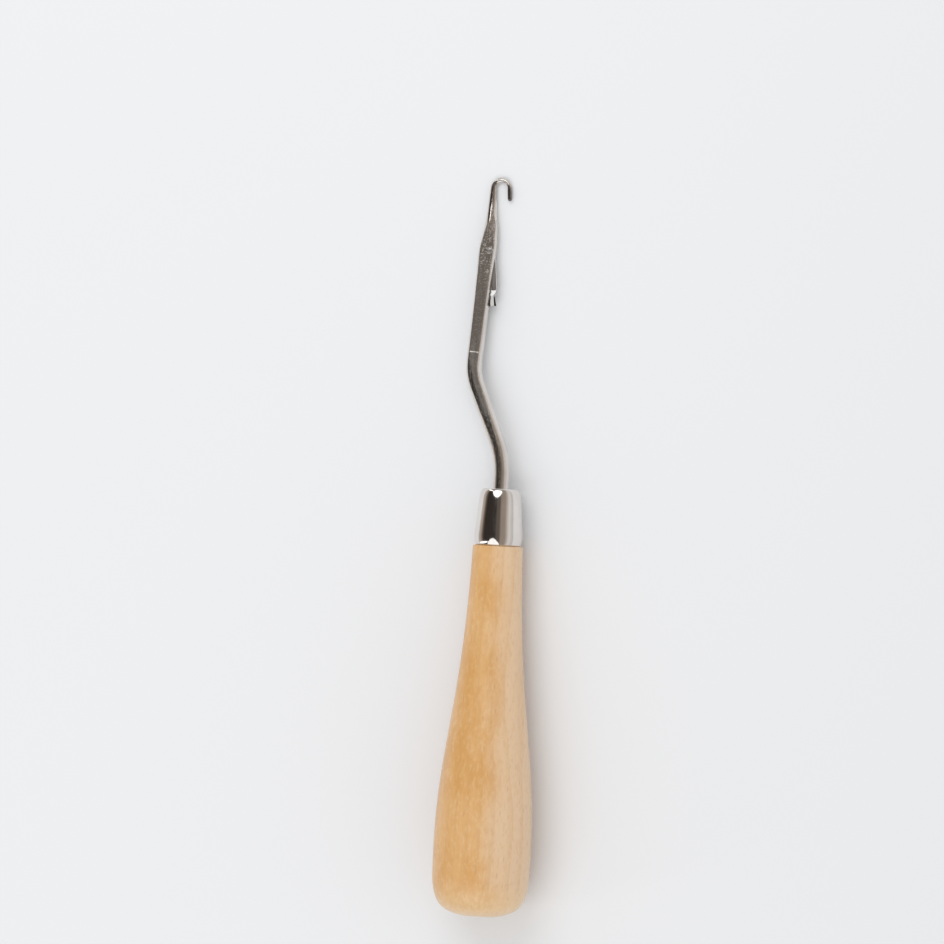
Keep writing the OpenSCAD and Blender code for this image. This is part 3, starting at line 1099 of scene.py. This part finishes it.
@dataclass
class Latch:
    """Stamped latch: an eye, a flat blade and a flared spoon that is open at its end.

    Lengths are on the latch's own axes: x from the rivet to the spoon, n to its left.
    """

    open_degrees: float = -85.2
    swing: float = 156.0
    length: float = 12.0
    eye: float = 1.12
    bore: float = 0.5
    blade_out: float = 1.2
    thickness: float = 0.7
    blade_length: float = 9.1
    spoon_length: float = 3.45
    spoon_radius: float = 1.05
    spoon_wall: float = 0.26
    spoon_side: float = 0.33
    edge: float = 0.12
    # its darkest colour is painted shade in the spoon, its palest a painted reflection on the
    # spoon's near wall
    finish: Metal = Metal(
        "latch steel", (0.74, 0.71, 0.68), (0.64, 0.61, 0.58), roughness=0.16, marks=0.08,
        mark_depth=0.000003, fineness=5.0, pits=0.25, pit_depth=0.000008, wear=0.2,
        pressed=(0.243, 0.222, 0.205), pressed_roughness=0.40, hollow=(0.045, 0.04, 0.036),
        chalky=(0.88, 0.87, 0.85))

    def spoon_start(self) -> float:
        """Where the spoon starts along the latch."""
        return self.length - self.spoon_length

    def flare(self, f: Array) -> Array:
        """The spoon's outer radius: root + (end - root) (1 - (1-f)^2.2) (1 - 0.35 (1-f)^3)."""
        root = self.thickness / 2 + 0.02
        return root + (self.spoon_radius - root) * (1 - (1 - f) ** 2.2) * (1 - 0.35 * (1 - f) ** 3)

    def blade(self) -> Skin:
        """The eye and the flat blade, which narrows into the spoon."""
        s = self.blade_length
        back = arc((0, 0), self.eye, 90, 270, 60)
        end = s + 0.87
        out = self.blade_out
        rest = [(0.55 * s, -0.36), (0.94 * s, 0.15), (end, 0.3), (end, self.spoon_side + 0.3),
                (s, out - 0.2), (0.9 * s, out), (0.6 * s, out)]
        outline = respaced(np.vstack([back, rest]), 0.07, loop=True)
        return plate(eased_loop(outline, 5), self.thickness, self.edge)

    def spoon(self) -> tuple[Skin, Array, Array]:
        """The trough that covers the barb: a swaged shoulder, then two walls that spread out.

        At the fraction f of its length the outer wall runs from one rim over the back to the other
        rim. It is a mix of a box with rounded corners, box(k), and of two straight walls, vee(k):
        share box(k) + (1 - share) vee(k), with k from 0 at the rim to 1 at the back. The inner wall
        is the outer one drawn towards the middle of the mouth by the wall's thickness.

        Returns:
            The trough as one closed wall, its painted shade and its painted light at each vertex.
        """
        f = np.linspace(0.0, 1.0, 56)
        rims = [(0, 1.04), (0.1, 1.08), (0.2, 0.98), (0.32, 0.62), (0.42, 0.54), (1, 0.72)]
        highs = [(0, 0.335), (0.03, 0.345), (0.24, 0.625), (0.3, 0.64), (0.38, 0.62), (1, 1.0)]
        rim, high = eased_table(rims, f, 0.03), eased_table(highs, f, 0.02)
        share = eased_table([(0, 0.97), (0.3, 0.95), (0.42, 0.25), (1, 0.1)], f, 0.03)
        reach = self.spoon_start() + self.spoon_length * f
        past = (reach - self.blade_length) / (self.length - self.blade_length)
        back = self.spoon_side - self.flare(np.clip(past, 0, 1)) + 0.02
        rim, high, back, share = rim[:, None], high[:, None], back[:, None], share[:, None]
        k = np.linspace(0, 1, 25)[None]
        side, top = 0.55, 0.8
        turn = np.radians(90 * np.clip((k - side) / 0.25, 0, 1))
        corner = 0.22 * high
        box_n = np.where(k < side, rim + (back + corner - rim) * k / side,
                         back + corner * (1 - np.sin(turn)))
        box_z = np.where(k < top, high - corner * (1 - np.cos(turn)),
                         (high - corner) * (1 - k) / 0.2)
        near_n = share * box_n + (1 - share) * (rim + (back - rim) * k)
        near_z = share * box_z + (1 - share) * high * (1 - k)
        n = np.concatenate([near_n, near_n[:, -2::-1]], axis=1)
        z = np.concatenate([near_z, -near_z[:, -2::-1]], axis=1)
        wall = np.minimum(self.spoon_wall - 0.02, 0.8 * high)
        inner_n = rim + (n - rim) * (1 - wall / (rim - back))
        inner_z = z * (1 - wall / high)
        ring_n = np.concatenate([n, inner_n[:, ::-1]], axis=1)
        ring_z = np.concatenate([z, inner_z[:, ::-1]], axis=1)
        x = np.broadcast_to(reach[:, None], ring_n.shape)
        # painted shade: a dark line along the back of the spoon's lower part, where the gap to the
        # stem is shaded, and the whole inner wall, which lies in shade
        low = np.clip((f[:, None] - 0.36) / 0.06, 0, 1)
        spread = np.abs(np.linspace(-1, 1, n.shape[1]))[None]
        back_share = 0.34
        back_edge = np.clip((back_share - spread) / 0.06, 0, 1)
        wall_face = np.clip((spread - back_share) / 0.08, 0, 1)
        dark = np.concatenate([low * back_edge, np.ones_like(n)], axis=1)
        # painted light: the near walls' outer faces are made pale and matt, a painted reflection of
        # the light room
        bright = np.interp(f, (0, 0.3, 0.38, 1), (1, 1, 0.75, 0.8))[:, None]
        chalky = np.concatenate([bright * wall_face, np.zeros_like(n)], axis=1)
        return skin(np.stack([x, ring_n, ring_z], axis=2), flat_ends=True), dark, chalky

    def make(self, axes: ToolAxes, rivet: Rivet) -> bpy.types.Object:
        """The latch in its open place.

        Args:
            axes: the tool's axes.
            rivet: the pin it swings on.

        Returns:
            The latch.
        """
        own = axes.moved(rivet.across, rivet.along, self.open_degrees)
        blade = self.blade()
        piece = build("latch_blade", blade, own)
        on_face = (np.abs(blade.points[:, 2]) - self.thickness / 2 + 0.06) / 0.05
        mark(piece, "pressed", np.clip(on_face, 0, 1))
        hole = upright(turned(np.array([(self.bore, -1), (self.bore, 1)]), 48))
        carve(piece, build("eye hole", hole, own), Cut.AWAY)
        trough, dark, chalky = self.spoon()
        spoon = build("spoon", trough, own)
        mark(spoon, "hollow", dark)
        mark(spoon, "chalky", chalky)
        both = [piece, spoon]
        with bpy.context.temp_override(active_object=piece, selected_editable_objects=both):
            bpy.ops.object.join()
        smooth(piece.data, SHARP)
        marks = axes.moved(rivet.across, rivet.along, self.open_degrees - 90)
        dress(piece, self.finish.make(marks))
        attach(piece, "latch")
        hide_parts("latch")
        return piece


@dataclass
class Run:
    """A straight run or an even bend of the wire: its length and its turn in degrees."""

    length: float
    turn: float = 0.0


@dataclass
class Shank:
    """One wire: the tang, the crank, the stem pressed flat, the neck, the hook and its barb.

    Distances along the wire count from just inside the ferrule's top.
    """

    ferrule: Ferrule
    latch: Latch
    rivet: Rivet
    wire: float = 3.5
    tang_length: float = 35.0
    tool_length: float = 160.0
    depth: float = 0.7
    lead: float = 0.4
    crank_start: float = 95.4
    crank_radius: float = 19.5
    crank_degrees: float = 23.3
    stem_radius: float = 12.0
    stem_across: float = -7.35
    stem_degrees: float = 4.1
    step_along: float = 122.0
    neck_along: float = 146.4
    neck_bend: float = 2.0
    neck_degrees: float = 2.0
    seat_width: float = 3.98
    seat_thickness: float = 2.4
    seat_gap: float = 0.025
    hook_radius: float = 1.8
    hook_degrees: float = 174.0
    barb: float = 0.95
    barb_half: float = 0.49
    tip_length: float = 2.8
    tip_round: float = 0.475
    slot: float = 0.8
    wings: tuple[float, float, float] = (4.7, 7.0, 1.2)
    wing_start: float = 2.5
    sharp: float = 38.0
    step: float = 0.0
    runs: list[Run] = field(default_factory=list)
    # its darkest colour is a painted dark reflection near the barb's tip; its pale colour paints
    # the slot's walls light
    finish: Metal = Metal(
        "shank steel", (0.76, 0.725, 0.69), (0.66, 0.62, 0.585), roughness=0.10, marks=0.05,
        mark_depth=0.000002, fineness=4.2, pits=0.3, pit_depth=0.000006, wear=0.25,
        pressed=(0.232, 0.200, 0.174), pressed_roughness=0.42, hollow=(0.09, 0.075, 0.07),
        chalky=(0.80, 0.79, 0.77), rough_spot=(-4.7, 144.0, 5.0))

    def base(self) -> float:
        """Height a little inside the ferrule's top, from which the wire is laid out."""
        return self.ferrule.top() - self.depth

    def ends(self) -> Array:
        """Distances along the wire at which its runs end."""
        return np.cumsum([run.length for run in self.runs])

    def lay_out(self) -> None:
        """Works out the runs so that the stem comes to its offset at the step line."""
        crank, stem = math.radians(self.crank_degrees), math.radians(self.stem_degrees)
        first, second, start = self.crank_radius, self.stem_radius, self.crank_start
        step, neck = self.step_along, self.neck_along
        end_across = -first * (1 - math.cos(crank)) + second * (math.cos(crank) - math.cos(stem))
        end_along = start + first * math.sin(crank) + second * (math.sin(stem) + math.sin(crank))
        gap = end_across - self.stem_across - math.tan(stem) * (end_along - step)
        straight = gap / (math.sin(crank) + math.cos(crank) * math.tan(stem))
        stem_start = end_along + straight * math.cos(crank)
        hook_at = self.tool_length - self.hook_radius - self.barb_half
        self.runs = [
            Run(start - self.base() + self.lead),
            Run(first * crank, -self.crank_degrees),
            Run(straight),
            Run(second * (crank + stem), self.crank_degrees + self.stem_degrees),
            Run((neck - stem_start) / math.cos(stem)),
            Run(self.neck_bend, self.neck_degrees - self.stem_degrees),
            Run(hook_at - neck - self.neck_bend),
            Run(self.hook_radius * math.radians(self.hook_degrees), self.hook_degrees),
            Run(self.tip_length)]
        self.step = sum(run.length for run in self.runs[:4]) + (step - stem_start) / math.cos(stem)

    def distances(self) -> Array:
        """Distances along the wire where a section is drawn: closer in the hook and at the tip."""
        ends, tip = self.ends(), self.tip_round
        back = -(self.base() - self.lead - self.ferrule.top() + self.depth + self.tang_length)
        tang = np.array([back, back + 0.12, back + 0.3, back + 0.6, *np.linspace(back + 3, -1, 12)])
        body = np.arange(0, ends[6] - 0.2, 0.3)
        step = self.step + np.array([-0.15, -0.07, 0.07, 0.15])
        hook = np.linspace(ends[6], ends[8] - 0.5, 64)
        last = ends[8] - tip + tip * np.sin(np.linspace(0, np.pi / 2, 12))
        return np.unique(np.concatenate([tang, body, step, hook, last]))

    def line(self, d: Array) -> tuple[Array, Array]:
        """The middle of the wire: the sum of (sin h, cos h) over short lengths, h its heading.

        Args:
            d: distances along the wire from just inside the ferrule's top.

        Returns:
            Places across and along for each distance, and the headings.
        """
        ends = np.concatenate([[0], self.ends()])
        turns = np.radians(np.concatenate([[0], np.cumsum([run.turn for run in self.runs])]))
        fine = np.linspace(d[0], ends[-1], 12001)
        heading = np.interp(fine, ends, turns)
        pace = np.column_stack([np.sin(heading), np.cos(heading)])
        gaps = np.diff(fine)[:, None] * (pace[1:] + pace[:-1]) / 2
        walk = np.vstack([[0, 0], np.cumsum(gaps, axis=0)])
        walk += np.array([0, self.base() - self.lead + d[0]])
        middle = np.column_stack([np.interp(d, fine, walk[:, 0]), np.interp(d, fine, walk[:, 1])])
        return middle, np.interp(d, ends, turns)

    def tables(self, d: Array) -> tuple[Array, Array, Array, Array]:
        """Width, thickness, roundness and lean of the wire at each distance.

        Args:
            d: distances along the wire.

        Returns:
            Width and thickness in millimetres, the angle up to which the sides are arcs in
            radians, and how far the section leans to the open side.
        """
        ends = self.ends()
        crank, neck, hook, barb, end = ends[1], ends[4], ends[6], ends[7], ends[8]
        step, wire, seat, seat_thick = self.step, self.wire, self.seat_width, self.seat_thickness
        widths = [
            (-1, wire), (0, wire - 0.04), (step + 12, wire), (neck - 7, seat - 0.26),
            (neck - 3.4, seat - 0.03), (neck - 1.5, seat), (neck - 0.2, 3.72), (neck + 0.8, 3.4),
            (neck + 2.9, 2.88), (neck + 5.6, 2.2), (neck + 7.7, 1.9), (neck + 9.9, 1.62),
            (hook, 1.45), (hook + 2.8, 0.98), (barb, self.barb), (end, self.barb)]
        thicks = [
            (-1, wire), (0, wire - 0.06), (crank - 2, wire - 0.06), (crank + 7, 3),
            (crank + 12, 2.84), (step, 2.8), (step + 0.001, 2.68), (step + 5, 2.54),
            (step + 13, 2.44), (neck - 6, seat_thick), (neck + 0.2, seat_thick),
            (neck + 3.6, seat_thick - 0.12), (neck + 5.6, 1.82), (neck + 7.8, 1.36),
            (hook, 1.12), (hook + 2.8, 0.96), (barb, self.barb), (end, self.barb)]
        arcs = [
            (0, 82), (crank - 2, 82), (crank + 7, 60), (crank + 12, 54), (step, 52),
            (step + 13, 44), (neck + 0.2, 43), (neck + 2.6, 46), (neck + 4.2, 62),
            (neck + 5.6, 72), (neck + 7.9, 80), (end, 82)]
        leans = [
            (neck - 2.5, 0), (neck + 0.6, 0.19), (neck + 2.9, 0.22), (neck + 5.6, 0.1), (hook, 0),
            (end, 0)]
        near_step = np.abs(d - step) < 0.9
        thick = np.where(near_step, eased_table(thicks, d, 0.08), eased_table(thicks, d, 0.5))
        round_to = np.radians(eased_table(arcs, d, 0.6))
        return eased_table(widths, d, 0.4), thick, round_to, eased_table(leans, d, 0.6)

    def rings(self) -> tuple[Array, Array, Array]:
        """The wire's sections along its line.

        A side is an arc, x = w/2 cos g and z = t sin g / (2 sin a) for g from -a to a, and the two
        sides are joined by flats whose points lie closer towards their ends. The corners are eased.
        At the neck the upper side is turned about the wire by a few degrees.

        Returns:
            A grid of points, sections by points by three, how far each point is on a pressed face
            and how much painted dark reflection it gets towards the tip of the barb.
        """
        d = self.distances()
        middle, heading = self.line(d)
        width, thick, round_to, lean = self.tables(d)
        ends, step = self.ends(), self.step
        neck, end = ends[4], ends[8]
        past = ((d - end + self.tip_round) / (self.tip_round + 0.003)).clip(0)
        tip = np.sqrt(np.clip(1 - past**2, 0.002, 1))
        butt = np.clip(0.86 + (d - d[0]) / 0.6 * 0.14, 0, 1)
        w, t = width * tip * butt / 2, thick * tip * butt / 2
        g = np.linspace(-1, 1, 24)[None] * round_to[:, None]
        side_z = t[:, None] / np.sin(round_to)[:, None] * np.sin(g)
        side = np.stack([w[:, None] * np.cos(g), side_z], axis=2)
        f = (1 - np.cos(np.linspace(0, np.pi, 14)[1:-1])) / 2
        half = (w * np.cos(round_to))[:, None]
        flat = np.stack([half * (1 - 2 * f), np.repeat(t[:, None], 12, 1)], axis=2)
        outline = np.concatenate([side, flat, -side, -flat], axis=1)
        outline = eased_loop(outline, 3)
        twists = [(neck + 1.5, 0), (neck + 4.2, 26), (neck + 8, 11), (neck + 10.5, 0)]
        twist = np.radians(eased_table(twists, d, 0.5))[:, None]
        twist = twist * np.clip(0.5 + outline[..., 1], 0, 1)
        z = outline[..., 1] * np.cos(twist) - outline[..., 0] * np.sin(twist)
        x = outline[..., 0] * np.cos(twist) + outline[..., 1] * np.sin(twist) + lean[:, None]
        across = middle[:, 0, None] + x * np.cos(heading)[:, None]
        along = middle[:, 1, None] - x * np.sin(heading)[:, None]
        flats = np.zeros(outline.shape[:2] + (1,))
        flats[:, 24:36] = flats[:, 60:72] = 1
        bright = eased_table([(ends[2] + 3, 1), (ends[3] + 4.5, 0)], d, 0.5)
        flats[:, 30:36, 0] = 1 - bright[:, None]
        # at the step the pressed share dips to 0.6: a thin paler, glossier band, a painted
        # highlight on the ledge
        marked = [
            (ends[1] + 2, 0), (ends[1] + 9, 1), (step - 0.2, 1), (step - 0.1, 0.6),
            (step + 0.1, 0.6), (step + 0.2, 1), (neck + 2.4, 1), (neck + 5.4, 0)]
        pressed = eased_loop(flats, 2)[..., 0] * eased_table(marked, d, 0.06)[:, None]
        # painted dark reflection: the last few millimetres of the barb are painted darker
        dull = eased_table([(end - 3.6, 0), (end - 2.4, 0.8)], d, 0.3)
        barb_painted_dark = np.repeat(dull, outline.shape[1])
        return np.stack([across, along, z], axis=2), pressed, barb_painted_dark

    def slot_outline(self) -> Array:
        """The slot's side view: it follows the open latch below the rivet and the closed one above.

        A point at (x, n) from the rivet in direction a is x (cos a, sin a) + n (-sin a, cos a).

        Returns:
            Points across and along, in order.
        """
        latch, rivet = self.latch, self.rivet
        closed = latch.open_degrees + latch.swing
        low, high = latch.eye + 0.14, latch.blade_out + 0.14
        turn = np.linspace(latch.open_degrees + 270, closed + 90, 13)
        spots = np.array([(latch.open_degrees, latch.length + 0.1, -low),
                          *zip(turn, np.linspace(low, high, 13), np.zeros(13)),
                          (closed, 0.85 * latch.length, high), (0, latch.length, latch.length),
                          (0, latch.length, -latch.length - 0.1)])
        a, x, n = np.radians(spots[:, 0]), spots[:, 1], spots[:, 2]
        return np.column_stack([rivet.across + x * np.cos(a) - n * np.sin(a),
                                rivet.along + x * np.sin(a) + n * np.cos(a)])

    def make(self, axes: ToolAxes) -> bpy.types.Object:
        """The wire with its tang's wings, the latch's slot and the rivet's seat."""
        self.lay_out()
        rings, pressed, barb_painted_dark = self.rings()
        piece = build("shank_wire", skin(rings), axes, self.sharp)
        mark(piece, "pressed", np.append(pressed, [0, 0]))
        mark(piece, "hollow", np.append(barb_painted_dark, [0, barb_painted_dark[-1]]))
        middle = self.base() - self.tang_length + self.wing_start + self.wings[1] / 2
        carve(piece, block("wings", self.wings, middle, axes), Cut.TOGETHER, self.sharp)
        side, half = self.slot_outline(), self.slot / 2
        flat = np.stack([np.column_stack([side, np.full(len(side), z)]) for z in (-half, half)])
        slot = build("slot", skin(flat, flat_ends=True), axes)
        # painted light: the slot's walls are made pale and matt so that the slot shows no shade
        mark(slot, "chalky", np.ones(len(slot.data.polygons)), "FACE")
        carve(piece, slot, Cut.AWAY, self.sharp)
        carve(piece, build("seat", self.rivet.shape(self.seat_gap), axes), Cut.AWAY, self.sharp)
        dress(piece, self.finish.make(axes))
        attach(piece, "tool")
        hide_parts("shank")
        return piece


# ---------------------------------------------------------------- the studio


@dataclass(frozen=True)
class View:
    """The photograph's view: its scale, the picture's middle on the tool, its turn and its lean."""

    pixel: float = 0.21666
    pixels: int = 944
    distance: float = 2.0
    middle_along: float = 95.95
    middle_across: float = -6.46
    turn: float = 17.0
    lean: float = 3.0
    sensor: float = 36.0

    def towards(self, axes: ToolAxes) -> Array:
        """The direction from the tool to the camera."""
        g = math.radians(self.turn)
        return axes.way(math.sin(g), 0, math.cos(g))

    def right(self, axes: ToolAxes) -> Array:
        """The direction across the tool in the picture's plane."""
        g = math.radians(self.turn)
        return axes.way(math.cos(g), 0, -math.sin(g))

    def make(self, axes: ToolAxes) -> bpy.types.Object:
        """The camera, with a long lens, set as the scene's camera.

        Args:
            axes: the tool's axes.

        Returns:
            The camera.
        """
        g = math.radians(self.lean)
        back, side = self.towards(axes), self.right(axes)
        across = side * math.cos(g) + axes.along * math.sin(g)
        up = axes.along * math.cos(g) - side * math.sin(g)
        target = axes.origin + MM * (self.middle_along * axes.along + self.middle_across * side)
        data = bpy.data.cameras.new("camera")
        data.sensor_width = self.sensor
        data.lens = self.sensor * self.distance / (self.pixel * MM * self.pixels)
        data.clip_start = 0.01
        camera = add_object("camera", data)
        camera.matrix_world = standing(across, up, back, target + back * self.distance)
        bpy.context.scene.camera = camera
        return camera


@dataclass(frozen=True)
class Lamp:
    """A soft oval light: its direction from the tool in the picture, its size and its power.

    The direction is given as degrees towards the hook and degrees to the right of the camera.
    """

    name: str
    up: float
    right: float
    distance: float
    size: tuple[float, float]
    power: float
    aim_along: float = 86.0

    def make(self, axes: ToolAxes, view: View) -> bpy.types.Object:
        """The light, facing the middle of the tool."""
        up, side = math.radians(self.up), math.radians(self.right)
        way = (view.towards(axes) * math.cos(up) * math.cos(side)
               + view.right(axes) * math.cos(up) * math.sin(side) + axes.along * math.sin(up))
        target = axes.origin + MM * self.aim_along * axes.along
        data = bpy.data.lights.new(self.name, "AREA")
        data.shape = "ELLIPSE"
        data.size, data.size_y = self.size
        data.energy = self.power
        lamp = add_object(self.name, data)
        across = unit(np.cross(axes.along, way))
        spot = target + way * self.distance
        lamp.matrix_world = standing(across, np.cross(way, across), way, spot)
        return lamp


@dataclass(frozen=True)
class Studio:
    """A pale floor, a room lit by direction, two soft lamps and two narrow strips of light.

    The room's table gives its brightness at each angle, from dark at the left to light at the
    right, and its warmth is added where it is dark.
    """

    floor: Colour = (0.80, 0.805, 0.815)
    floor_half: float = 2.5
    backdrop: Colour = (0.86, 0.865, 0.875)
    far: Colour = (0.45, 0.45, 0.45)
    fill_left: Colour = (0.47, 0.473, 0.477)
    fill_right: Colour = (0.87, 0.876, 0.884)
    warmth: Colour = (0.14, -0.05, -0.20)
    room: tuple = (
        (-180, 0.65), (-104, 0.5), (-93, 0.37), (-85, 0.16), (-77, 0.05), (-71, 0.033),
        (-20, 0.033), (-12, 0.1), (1, 0.11), (8, 0.28), (28, 0.3), (36, 0.45), (44, 0.62),
        (52, 0.74), (60, 0.66), (68, 0.6), (88, 0.6), (96, 0.8), (180, 0.9))
    lamps: tuple = (
        Lamp("lamp towards the hook", 37, -21, 0.75, (0.60, 0.606), 1.7),
        Lamp("lamp towards the butt", -36, -29, 0.75, (0.72, 0.80), 1.7),
        Lamp("strip towards the hook", 45, -74, 0.75, (0.46, 0.13), 0.28),
        Lamp("strip towards the butt", -21, -80, 0.75, (0.66, 0.12), 0.34))

    def make(self, axes: ToolAxes, view: View) -> None:
        """Floor, room and lamps."""
        self.make_floor()
        self.make_room(axes, view)
        for lamp in self.lamps:
            lamp.make(axes, view)

    def make_floor(self) -> None:
        """A wide sheet of pale paper under the tool."""
        ring = np.array([(-1, -1, 0), (1, -1, 0), (1, 1, 0), (-1, 1, 0)], float) * self.floor_half
        mesh = bpy.data.meshes.new("floor")
        mesh.from_pydata(ring.tolist(), [], [[0, 1, 2, 3]])
        floor = add_object("floor", mesh)
        material = bpy.data.materials.new("paper")
        material.use_nodes = True
        graph = Graph(material.node_tree)
        shader = graph.add("ShaderNodeBsdfDiffuse")
        graph.feed(shader.inputs["Color"], solid(self.floor))
        graph.feed(graph.add("ShaderNodeOutputMaterial").inputs["Surface"], shader.outputs[0])
        mesh.materials.append(material)

    def make_room(self, axes: ToolAxes, view: View) -> None:
        """The room's light by direction; it fills matt surfaces evenly and the camera sees it pale.

        The angle of a direction is atan2(direction . right, direction . towards the camera), in
        degrees, and its brightness is read from the room's table. Far along the tool the room is
        evenly grey.

        Args:
            axes: the tool's axes.
            view: the photograph's view.
        """
        world = bpy.data.worlds.new("room")
        bpy.context.scene.world = world
        world.use_nodes = True
        world.cycles.sampling_method = "NONE"
        graph = Graph(world.node_tree)
        way = graph.add("ShaderNodeTexCoord").outputs["Generated"]
        x = graph.vector("DOT_PRODUCT", way, view.right(axes).tolist())
        z = graph.vector("DOT_PRODUCT", way, view.towards(axes).tolist())
        turn = graph.over(graph.math("ARCTAN2", x, z), 2 * math.pi)
        warm = [1 - min(max((level - 0.35) / 0.4, 0), 1) for _, level in self.room]
        stops = [(0.5 + angle / 360, tuple(level * (1 + w * part) for part in self.warmth))
                 for (angle, level), w in zip(self.room, warm)]
        tone = graph.ramp(graph.plus(turn, 0.5), stops)
        far = graph.math("ABSOLUTE", graph.vector("DOT_PRODUCT", way, axes.along.tolist()))
        tone = graph.mix(graph.range(far, 0.85, 0.96), tone, self.far)
        rays = graph.add("ShaderNodeLightPath")
        fill = graph.mix(graph.range(x, -1.0, 1.0), self.fill_left, self.fill_right)
        seen = graph.mix(rays.outputs["Is Diffuse Ray"], tone, fill)
        seen = graph.mix(rays.outputs["Is Camera Ray"], seen, self.backdrop)
        shader = graph.add("ShaderNodeBackground")
        graph.feed(shader.inputs["Color"], seen)
        graph.feed(graph.add("ShaderNodeOutputWorld").inputs["Surface"], shader.outputs[0])


def main() -> None:
    """Builds the pieces in order and reports each one."""
    logging.basicConfig(level=logging.INFO, format="%(name)s: %(message)s")
    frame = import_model()
    axes = ToolAxes.from_record(frame["record"])
    for make_group in (make_brush_marks, make_pits, make_handling, make_edge_wear):
        make_group()
    bpy.context.scene.view_settings.view_transform = "Standard"
    view = View()
    view.make(axes)
    Studio().make(axes, view)

    ferrule, latch, rivet = Ferrule(), Latch(), Rivet()
    pieces = [
        Handle(ferrule).make(axes),
        ferrule.make(axes),
        Shank(ferrule, latch, rivet).make(axes),
        latch.make(axes, rivet),
        rivet.make(axes)]
    for piece in pieces:
        mesh = piece.data
        LOG.info("%s: %d faces, %s", piece.name, len(mesh.polygons), mesh.materials[0].name)

    LOG.info("sizes written")


if __name__ == "__main__":
    main()
